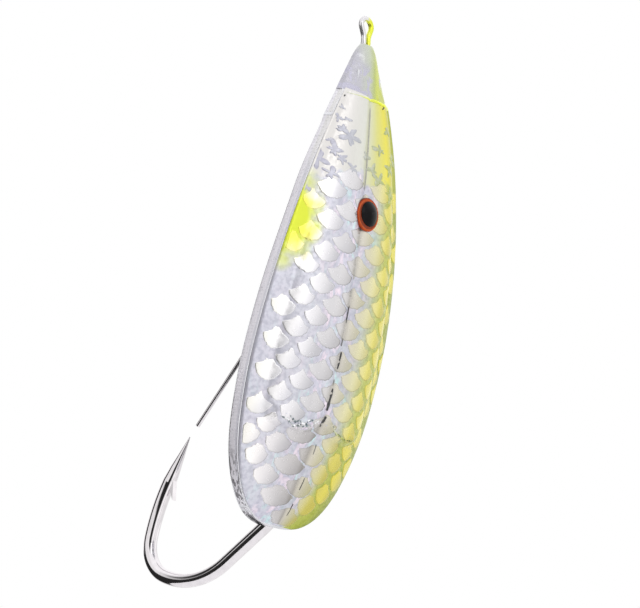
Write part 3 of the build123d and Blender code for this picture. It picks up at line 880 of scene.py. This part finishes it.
def wall_rows(side):
    """The blade's side wall, from its mesh: height, distance out, front and back of each row."""
    tree = BVHTree.FromObject(nodes["blade"], bpy.context.evaluated_depsgraph_get())
    inwards = Vector((-side, 0, 0))
    found = []
    high_z = cap_edge_z(side * RIM_TOP_X) - RIM_TOP_CLEAR
    for row in range(RIM_ROWS):
        z = RIM_LOW_Z + (high_z - RIM_LOW_Z) * row / (RIM_ROWS - 1)
        middle = face_y(half_width(z), z) + SHEET / 2
        hits = []
        for dy in np.arange(-SHEET, SHEET + 0.05, WALL_STEP):
            hit = tree.ray_cast(place(side * WALL_RAY_START, middle + dy, z), inwards)[0]
            if hit is not None:
                hits.append((abs(hit.x) / MM, middle + dy))
        edge = max(hits)[0]
        wall = [depth for out, depth in hits if out > edge - WALL_TOLERANCE]
        found.append((z, edge, min(wall), max(wall)))
    table = np.array(found)
    window = 2 * WALL_AVERAGE + 1
    ends = (WALL_AVERAGE, WALL_AVERAGE)
    padded = np.pad(table, (ends, (0, 0)), mode="reflect", reflect_type="odd")
    return sum(padded[shift:shift + RIM_ROWS] for shift in range(window)) / window


def rim_film():
    """The film's turned edge on the blade's side wall, with fine ribs."""
    vertices, faces, fronts = [], [], []
    for side in (-1, 1):
        table = wall_rows(side)
        first = len(vertices)
        for row, (z, edge_x, front, back) in enumerate(table):
            before, after = table[max(row - 1, 0)], table[min(row + 1, RIM_ROWS - 1)]
            slope = (after[1] - before[1]) / (after[0] - before[0])
            normal_x = side / math.hypot(1, slope)
            normal_z = -slope / math.hypot(1, slope)
            rib = RIB_HEIGHT * math.sin(2 * math.pi * z / RIB_PITCH)
            for column in range(RIM_COLUMNS):
                share = column / (RIM_COLUMNS - 1)
                lift = RIM_LIFT + rib if 0 < column < RIM_COLUMNS - 1 else -TUCK
                x = side * edge_x + normal_x * lift
                y = front - RIM_OVERLAP + share * (back - front + RIM_WRAP)
                vertices.append(place(x, y, z + normal_z * lift))
                fronts.append(1 - share)
        for face in strip_faces(RIM_ROWS, RIM_COLUMNS):
            faces.append(tuple(first + corner for corner in face))
    make_piece("rim_film", vertices, faces, rim_finish(), {"front": fronts})


def crease_marks():
    """Dark marks painted along the crease as shade and dark reflection in its valley, a faint
    painted fold shade above, and small dark spots below the cap's edge and at the end step.
    """
    marks = (  # x, height, length, width, lean, darkness
        (-0.1, 31.0, 2.7, 0.34, 0.0, 1.0),
        (-0.1, 27.0, 1.2, 0.2, 0.02, 0.8),
        (0.1, 24.4, 2.6, 0.5, 0.03, 1.0),
        (0.0, 21.2, 1.0, 0.2, 0.0, 0.6),
        (0.05, 18.8, 3.4, 0.62, 0.03, 1.0),
        (-0.2, 15.6, 1.7, 1.0, 0.25, 1.0),
        (0.1, 11.6, 1.5, 0.2, 0.0, 0.7),
        (0.1, 6.6, 1.9, 0.24, 0.05, 0.9),
        (0.1, 2.8, 1.9, 0.2, 0.0, 0.9),
        (0.0, 55.0, 12.5, 0.2, 0.0, 0.3),
        (-0.1, 41.6, 2.2, 0.4, 0.0, 0.25),
        (-0.1, 37.2, 2.4, 0.4, 0.0, 0.3),
        (-0.1, 33.9, 1.6, 0.36, 0.0, 0.3),
        (2.5, 61.7, 0.5, 0.34, 0.8, 1.0),
        (-5.0, 61.4, 0.3, 0.3, 0.3, 0.9),
        (-4.9, 14.1, 0.5, 0.4, 0.9, 0.9),
    )
    rows, columns = 26, 5
    vertices, faces, darkness = [], [], []
    for x, z, length, width, lean, dark in marks:
        first = len(vertices)
        for row in range(rows):
            along = 2 * row / (rows - 1) - 1
            half = 0.5 * width * math.sqrt(max(1 - along**4, 0))
            half *= 1 + 0.35 * wave(along * 2, z, 0.6)
            for column in range(columns):
                side = 2 * column / (columns - 1) - 1
                mark_z = z + along * length / 2
                mark_x = x + side * half + lean * along * length / 2
                mark_x += 0.04 * wave(mark_z, x, 0.8, 2)
                border = abs(side) == 1 or abs(along) == 1
                rise = -TUCK if border else SCALE_LIFT + MARK_LIFT
                vertices.append(place(mark_x, film_y(mark_x, mark_z) - rise, mark_z))
                darkness.append(dark)
        for face in strip_faces(rows, columns):
            faces.append(tuple(first + corner for corner in face))
    make_piece("crease_marks", vertices, faces, mark_finish(), {"dark": darkness})


def bead(name, paths, material):
    """Beads lying on the face along paths of (x, height, thickness)."""
    vertices, faces = [], []
    for path in paths:
        first = len(vertices)
        for x, z, thickness in path:
            y = film_y(x, z) + BEAD_SINK
            for side in range(BEAD_SIDES):
                angle = 2 * math.pi * side / BEAD_SIDES
                out = thickness * math.cos(angle)
                along = BEAD_STRETCH * thickness * math.sin(angle)
                vertices.append(place(x, y - out, z + along))
        for point in range(len(path) - 1):
            for side in range(BEAD_SIDES):
                following = (side + 1) % BEAD_SIDES
                lower = first + point * BEAD_SIDES
                upper = lower + BEAD_SIDES
                faces.append((lower + side, lower + following, upper + following, upper + side))
    make_piece(name, vertices, faces, material)


def cap_seam():
    """The bead of paint that gathers along the nose cap's lower edge."""
    points, reach = 60, 5.0
    path = []
    for point in range(points):
        x = -reach + 2 * reach * point / (points - 1)
        thickness = 0.06 + 0.16 * smooth(-3.5, 1.5, x) * (0.8 + 0.4 * wave(x, 0, 0.8))
        thickness *= smooth(reach, reach - 0.6, abs(x))
        z = cap_edge_z(x) - 0.1 - 0.25 * smooth(1.0, -4.0, x) + 0.12 * wave(x, 0, 1.5, 3)
        path.append((x, z, thickness))
    bead("cap_seam", [path], seam_finish())


def step_crinkle():
    """The film's crumpled fold along the lobes' end step."""
    points = 110
    paths = []
    for low_x, high_x, lift in ((-8.4, -0.9, 0.0), (-7.2, -2.0, 0.55), (1.2, 7.4, 0.0)):
        path = []
        for point in range(points):
            share = point / (points - 1)
            x = low_x + (high_x - low_x) * share
            thickness = 0.06 + 0.2 * abs(wave(x, lift, 0.5, 5.0))
            thickness += 0.1 * abs(wave(x, lift, 0.22, 7.0))
            thickness *= smooth(0.0, 0.1, share) * smooth(1.0, 0.9, share)
            z = step_z(x) + 0.2 + lift
            z += 0.35 * wave(x, lift, 1.1, 9.0) + 0.12 * wave(x, lift, 0.4, 3.0)
            path.append((x, z, thickness))
        paths.append(path)
    bead("step_crinkle", paths, crinkle_finish())


foil_film()
foil_scales()
film_patches()
rim_film()
crease_marks()
step_crinkle()
cap_seam()


# ---- floor, light and camera ----
def pale_floor():
    """A small pale square below the lure, outside the photograph's view."""
    mesh = bpy.data.meshes.new("floor")
    turns = ((-1, -1), (1, -1), (1, 1), (-1, 1))
    corners = [(x * FLOOR_HALF, y * FLOOR_HALF, FLOOR_Z) for x, y in turns]
    mesh.from_pydata(corners, [], [(0, 1, 2, 3)])
    floor = bpy.data.objects.new("floor", mesh)
    bpy.context.scene.collection.objects.link(floor)
    finish = Finish("floor")
    finish.uneven_colour(400.0, (246, 246, 246), (243, 243, 244))
    finish.roughness(0.6)
    mesh.materials.append(finish.material)


def around_ramp(tree, share, levels):
    """Grey levels around the horizon."""
    ramp = tree.nodes.new("ShaderNodeValToRGB")
    tree.links.new(share, ramp.inputs[0])
    elements = ramp.color_ramp.elements
    while len(elements) < len(levels):
        elements.new(0.5)
    for element, (azimuth, _) in zip(elements, levels):
        element.position = (azimuth + 180) / 360
    for element, (_, level) in zip(elements, levels):
        element.color = (level, level, level, 1.0)
    return ramp.outputs[0]


def world_mix(tree, height, limits, first, second):
    """Mixes two colours by the direction's height, smoothly between two limits."""
    steep = tree.nodes.new("ShaderNodeMapRange")
    steep.interpolation_type = "SMOOTHSTEP"
    tree.links.new(height, steep.inputs["Value"])
    steep.inputs["From Min"].default_value = limits[0]
    steep.inputs["From Max"].default_value = limits[1]
    mixed = tree.nodes.new("ShaderNodeMix")
    mixed.data_type = "RGBA"
    tree.links.new(steep.outputs[0], mixed.inputs[MIX_SHARE])
    tree.links.new(first, mixed.inputs[MIX_FIRST])
    if isinstance(second, bpy.types.NodeSocket):
        tree.links.new(second, mixed.inputs[MIX_SECOND])
    else:
        mixed.inputs[MIX_SECOND].default_value = second
    return mixed.outputs[MIX_RESULT]


def studio_world():
    """White to the camera. Reflections see bright walls with dark gaps, wider below the horizon."""
    world = bpy.data.worlds.new("studio")
    bpy.context.scene.world = world
    world.use_nodes = True
    tree = world.node_tree
    background = tree.nodes["Background"]
    direction = tree.nodes.new("ShaderNodeTexCoord").outputs["Generated"]
    split = tree.nodes.new("ShaderNodeSeparateXYZ")
    tree.links.new(direction, split.inputs[0])
    turn = tree.nodes.new("ShaderNodeMath")
    turn.operation = "ARCTAN2"
    tree.links.new(split.outputs["Y"], turn.inputs[0])
    tree.links.new(split.outputs["X"], turn.inputs[1])
    share = tree.nodes.new("ShaderNodeMapRange")
    tree.links.new(turn.outputs[0], share.inputs["Value"])
    share.inputs["From Min"].default_value = -math.pi
    share.inputs["From Max"].default_value = math.pi
    level = around_ramp(tree, share.outputs[0], LEVELS)
    below = around_ramp(tree, share.outputs[0], LOW_LEVELS)
    height = split.outputs["Z"]
    sides = world_mix(tree, height, HORIZON, below, level)
    colour = world_mix(tree, height, CEILING, sides, CEILING_COLOUR)
    tree.links.new(colour, background.inputs["Color"])
    background.inputs["Strength"].default_value = STUDIO_STRENGTH
    white = tree.nodes.new("ShaderNodeBackground")
    white.inputs["Color"].default_value = (1, 1, 1, 1)
    seen = tree.nodes.new("ShaderNodeLightPath")
    mixed = tree.nodes.new("ShaderNodeMixShader")
    tree.links.new(seen.outputs["Is Camera Ray"], mixed.inputs[0])
    tree.links.new(background.outputs[0], mixed.inputs[1])
    tree.links.new(white.outputs[0], mixed.inputs[2])
    tree.links.new(mixed.outputs[0], tree.nodes["World Output"].inputs["Surface"])


def soft_light(name, direction, distance, size, power):
    """A square lamp that faces the middle of the view."""
    light = bpy.data.lights.new(name, "AREA")
    light.size = size
    light.energy = power
    lamp = bpy.data.objects.new(name, light)
    bpy.context.scene.collection.objects.link(lamp)
    centre = place(*VIEW_CENTRE)
    lamp.location = centre + Vector(direction).normalized() * distance
    lamp.rotation_euler = (centre - lamp.location).to_track_quat("-Z", "Y").to_euler()


def view_camera():
    """The camera that matches the photograph."""
    camera = bpy.data.cameras.new("camera")
    camera.lens = LENS
    camera.sensor_width = SENSOR
    holder = bpy.data.objects.new("camera", camera)
    bpy.context.scene.collection.objects.link(holder)
    towards = Vector((
        math.cos(VIEW_ELEVATION) * math.sin(VIEW_AZIMUTH),
        -math.cos(VIEW_ELEVATION) * math.cos(VIEW_AZIMUTH),
        math.sin(VIEW_ELEVATION),
    ))
    level_right = Vector((0, 0, 1)).cross(towards).normalized()
    level_up = towards.cross(level_right)
    right = level_right * math.cos(VIEW_ROLL) + level_up * math.sin(VIEW_ROLL)
    up = towards.cross(right)
    distance = VIEW_WIDTH * MM * LENS / SENSOR
    turn = Matrix((right, up, towards)).transposed().to_4x4()
    holder.matrix_world = Matrix.Translation(place(*VIEW_CENTRE) + towards * distance) @ turn
    bpy.context.scene.camera = holder


pale_floor()
studio_world()
soft_light("key", (-0.5, -1.0, 0.7), 0.6, 0.35, 0.35)
soft_light("fill", (1.0, -0.6, 0.2), 0.7, 0.4, 0.15)
view_camera()
bpy.context.scene.view_settings.view_transform = "Standard"
bpy.context.scene.view_settings.look = "None"
